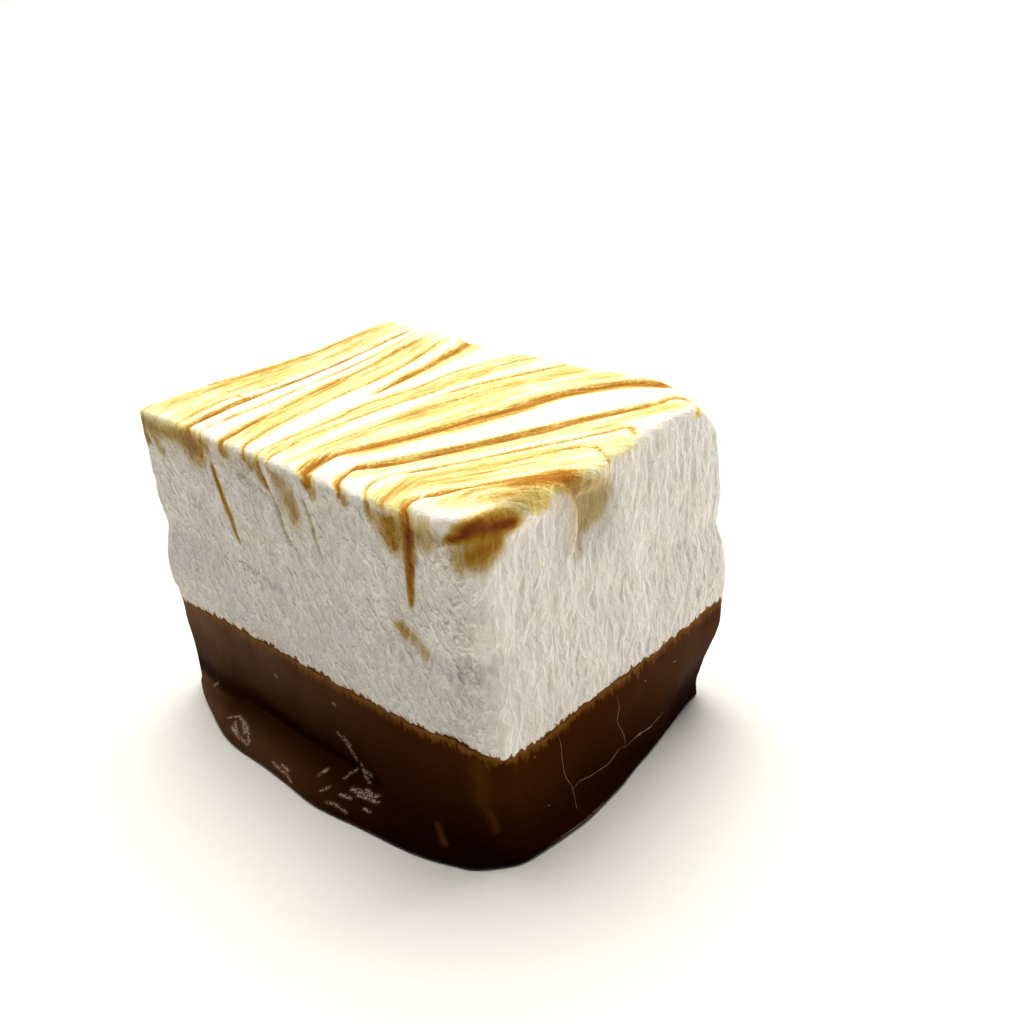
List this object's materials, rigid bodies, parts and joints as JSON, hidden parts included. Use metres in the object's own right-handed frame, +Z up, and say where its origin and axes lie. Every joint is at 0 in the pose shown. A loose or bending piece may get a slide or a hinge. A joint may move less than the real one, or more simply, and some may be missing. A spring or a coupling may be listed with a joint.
{
  "type": "marshmallow",
  "caption": "Thick slab marshmallow marbled with caramel on top, its base dipped in dark chocolate that has pooled into a foot; a sweet that stands on its flat sole.",
  "frame": {"origin": "middle of the sole's bounding box, on the surface the sweet stands on", "axes": "+Z up, +Y along the long side, +X along the short side; the front corner seen in the picture is the one towards -X and -Y"},
  "size_m": [0.045, 0.0536, 0.0347],
  "materials": {
    "marshmallow": "matte, finely wrinkled skin, soft and slightly see-through, with caramel streaks on top",
    "chocolate": "satin dark chocolate with scuffs, fine cracks and a thin lighter edge"
  },
  "bodies": {
    "root": {"marshmallow": "marshmallow", "chocolate_dip": "chocolate"}
  },
  "joints": []
}
